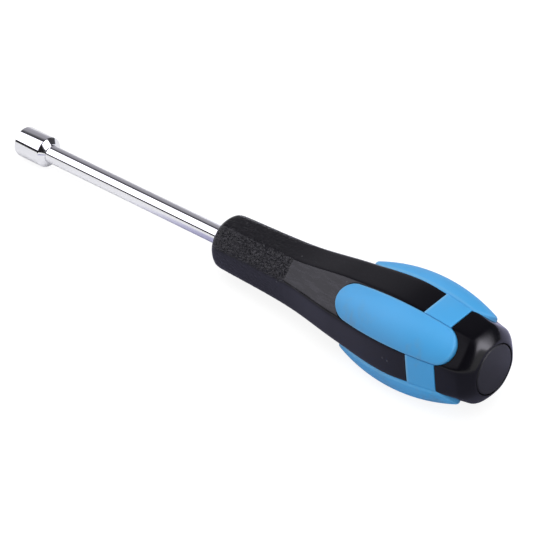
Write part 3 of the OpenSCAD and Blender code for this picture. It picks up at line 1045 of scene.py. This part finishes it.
def floor_paint():
    """White floor: plain paint for the light that it bounces, bright to the camera, and a painted shadow of
    the handle in reflections.
    """
    made = bpy.data.materials.new("floor_paint")
    tree = cleared(made)
    path = add(tree, "ShaderNodeLightPath").outputs
    seen = background_rays(tree, path)
    paint = add(tree, "ShaderNodeBsdfDiffuse", {"Color": (0.8, 0.8, 0.8, 1)})
    thin = add(tree, "ShaderNodeBsdfDiffuse", {"Color": (0.25, 0.25, 0.25, 1)})
    spot, place = own_place(tree)
    away = add(tree, "ShaderNodeVectorMath", {0: spot}, operation="LENGTH").outputs["Value"]
    glow = soft_step(tree, away, 0.3, 1.2, 0.88, 0.97)
    white = add(tree, "ShaderNodeEmission", {"Color": (1, 1, 1, 1), "Strength": glow})
    bright = add(tree, "ShaderNodeAddShader", {0: thin.outputs[0], 1: white.outputs[0]})
    # Painted shadow of the handle, seen only in reflections: dim and violet beside the handle, brighter
    # beyond its far side, near white ahead of it
    shaft_from, shaft_to = 0.02, 0.06
    painted_shadow_beside = soft_step(tree, place["X"], -0.1, -0.055, 0.41, 0.67)
    tone = maths(tree, "ADD", painted_shadow_beside, soft_step(tree, place["X"], shaft_from, shaft_to, 0.0, 0.35))
    tone = maths(tree, "MAXIMUM", tone, soft_step(tree, place["Y"], -0.012, -0.024, 0.0, 1.0))
    ahead = soft_step(tree, place["X"], shaft_from, shaft_to)
    hue = mixed(tree, ahead, (0.72, 0.71, 1, 1), (0.97, 0.97, 1, 1))
    # Colour of the floor's painted shadow, as reflections see it
    painted_shadow_colour = mixed(tree, tone, (0, 0, 0, 1), hue)
    pale = add(tree, "ShaderNodeBsdfDiffuse", {"Color": painted_shadow_colour})
    mirrored = path["Is Glossy Ray"]
    shown = add(tree, "ShaderNodeMixShader", {0: mirrored, 1: bright.outputs[0], 2: pale.outputs[0]})
    both = add(tree, "ShaderNodeMixShader", {0: seen, 1: paint.outputs[0], 2: shown.outputs[0]})
    add(tree, "ShaderNodeOutputMaterial", {"Surface": both.outputs[0]})
    return made


def tent_cloth():
    """The tent's glow: a wide panel ahead of the tool, a soft window high behind its butt, and a dim back."""
    made = bpy.data.materials.new("tent_cloth")
    tree = cleared(made)
    _, place = own_place(tree)
    # Places along the tent as shares of its radius, and turns round it from +Y over the top
    along = maths(tree, "DIVIDE", place["X"], TENT_R)
    turn = maths(tree, "ARCTAN2", place["Z"], place["Y"])

    def step(value, *span):
        return soft_step(tree, value, *span)

    panel_from, panel_to = 1.66, 1.74
    window_turn = 2.12
    ahead = maths(tree, "ADD", step(along, 0.3, 0.75, 0.0, 1.7), step(along, -0.3, 0.25, 0.0, 0.55))
    ahead = product(tree, ahead, step(turn, 0.43, 0.5), step(turn, panel_to, panel_from))
    aside = maths(tree, "ABSOLUTE", maths(tree, "SUBTRACT", turn, window_turn))
    slant = maths(tree, "ADD", along, maths(tree, "MULTIPLY", aside, 1.3))
    window = step(slant, -0.2, -1.0, 0.0, 8.5)
    back = maths(tree, "ADD", step(turn, 1.86, 2.35, 0.04, 0.36), step(turn, 2.5, 3.1, 0.0, 0.2))
    back = product(tree, back, step(along, 0.0, 0.8, 0.1, 1.0), step(turn, panel_from, panel_to))
    total = maths(tree, "ADD", maths(tree, "ADD", ahead, window), maths(tree, "ADD", back, 0.02))
    light = add(tree, "ShaderNodeEmission", {"Color": (0.92, 0.9, 1, 1), "Strength": total})
    add(tree, "ShaderNodeOutputMaterial", {"Surface": light.outputs[0]})
    return made


def white_world():
    """White all round where it is seen, and a plain soft light for the rest."""
    world = bpy.data.worlds.new("studio")
    tree = cleared(world)
    seen = background_rays(tree, add(tree, "ShaderNodeLightPath").outputs)
    soft = add(tree, "ShaderNodeBackground", {"Color": (1, 1, 1, 1), "Strength": 0.45})
    white = add(tree, "ShaderNodeBackground", {"Color": (1, 1, 1, 1), "Strength": 1.0})
    both = add(tree, "ShaderNodeMixShader", {0: seen, 1: soft.outputs[0], 2: white.outputs[0]})
    add(tree, "ShaderNodeOutputWorld", {"Surface": both.outputs[0]})
    return world


def softbox(name, at, facing, width, height, radiance):
    """A rectangular soft light that gives its face a radiance."""
    data = bpy.data.lights.new(name, "AREA")
    data.shape = "RECTANGLE"
    data.size = width
    data.size_y = height
    data.energy = radiance * math.pi * width * height
    obj = bpy.data.objects.new(name, data)
    bpy.context.scene.collection.objects.link(obj)
    obj.location = at
    obj.rotation_mode = "QUATERNION"
    obj.rotation_quaternion = (Vector(facing) - Vector(at)).to_track_quat("-Z", "Y")
    obj.visible_camera = False
    obj.visible_glossy = False
    return obj


class DRIVER_OT_stage(bpy.types.Operator):
    """Sets the camera, the white floor and the soft lights"""

    bl_idname = "driver.stage"
    bl_label = "Stage"

    def execute(self, context):
        s = sizes()
        scene = context.scene
        scene.view_settings.view_transform = "Standard"
        scene.world = white_world()
        self.make_camera(scene)
        self.make_floor(s)
        self.make_lights()
        return {"FINISHED"}

    def make_camera(self, scene):
        data = bpy.data.cameras.new("camera")
        data.lens = CAMERA_LENS
        data.sensor_width = SENSOR
        obj = bpy.data.objects.new("camera", data)
        scene.collection.objects.link(obj)
        obj.location = CAMERA_AT
        obj.rotation_mode = "QUATERNION"
        aim = (CAMERA_AIM - CAMERA_AT).to_track_quat("-Z", "Y")
        obj.rotation_quaternion = aim @ Quaternion((0, 0, 1), CAMERA_ROLL)
        scene.camera = obj

    def make_floor(self, s):
        """The tool lies on two lobes and the rim of its socket, so the floor leans a little."""
        low_x = BUTT_X + s.crest_at
        slope = (SOCKET_LOW.z - GRIP_LOW.z) / (SOCKET_HIGH.x - low_x)
        bm = bmesh.new()
        bmesh.ops.create_grid(bm, x_segments=1, y_segments=1, size=FLOOR_SIDE / 2)
        obj = piece("floor", bm)
        obj.location = (MIDDLE.x, 0, GRIP_LOW.z + slope * (MIDDLE.x - low_x) - FLOOR_GAP)
        obj.rotation_euler = (0, -math.atan(slope), 0)
        obj.data.materials.append(floor_paint())

    def make_lights(self):
        lamp_at = MIDDLE + Vector((-0.25, 0.06, 0.85))
        softbox("key", lamp_at, MIDDLE, LAMP_SIDE, LAMP_SIDE, LAMP_RADIANCE)
        self.make_tent()

    def make_tent(self):
        """What the gloss reflects: a half-round tent, bright ahead of the tool and behind its butt."""
        bm = bmesh.new()
        low = bm.verts.new(on_axis(-2 * TENT_R, TENT_R, TENT_FROM))
        high = bm.verts.new(on_axis(3 * TENT_R, TENT_R, TENT_FROM))
        edge = bm.edges.new((low, high))
        sweep = math.pi - TENT_FROM
        bmesh.ops.spin(bm, geom=[low, high, edge], cent=(0, 0, 0), axis=(1, 0, 0), angle=sweep, steps=48)
        obj = piece("tent", bm)
        obj.location = MIDDLE
        obj.data.materials.append(tent_cloth())
        obj.visible_camera = False
        obj.visible_diffuse = False
        obj.visible_shadow = False
        obj.visible_transmission = False


class DRIVER_PT_build(bpy.types.Panel):
    """Lists the steps that build the nut driver"""

    bl_idname = "DRIVER_PT_build"
    bl_label = "Nut driver"
    bl_space_type = "VIEW_3D"
    bl_region_type = "UI"
    bl_category = "Nut driver"

    def draw(self, context):
        for step in STEPS:
            self.layout.operator(step.bl_idname)


STEPS = (DRIVER_OT_stage, DRIVER_OT_shaft, DRIVER_OT_socket, DRIVER_OT_core, DRIVER_OT_grip, DRIVER_OT_cap)
CLASSES = (DriverSizes, DriverFinish, *STEPS, DRIVER_PT_build)


def register():
    for cls in CLASSES:
        bpy.utils.register_class(cls)
    bpy.types.Scene.driver_sizes = bpy.props.PointerProperty(type=DriverSizes)
    bpy.types.Scene.driver_finish = bpy.props.PointerProperty(type=DriverFinish)


def unregister():
    del bpy.types.Scene.driver_finish
    del bpy.types.Scene.driver_sizes
    for cls in reversed(CLASSES):
        bpy.utils.unregister_class(cls)


def main():
    register()
    bpy.ops.driver.stage()
    bpy.ops.driver.shaft()
    bpy.ops.driver.socket()
    bpy.ops.driver.core()
    bpy.ops.driver.grip()
    bpy.ops.driver.cap()


if __name__ == "__main__":
    main()
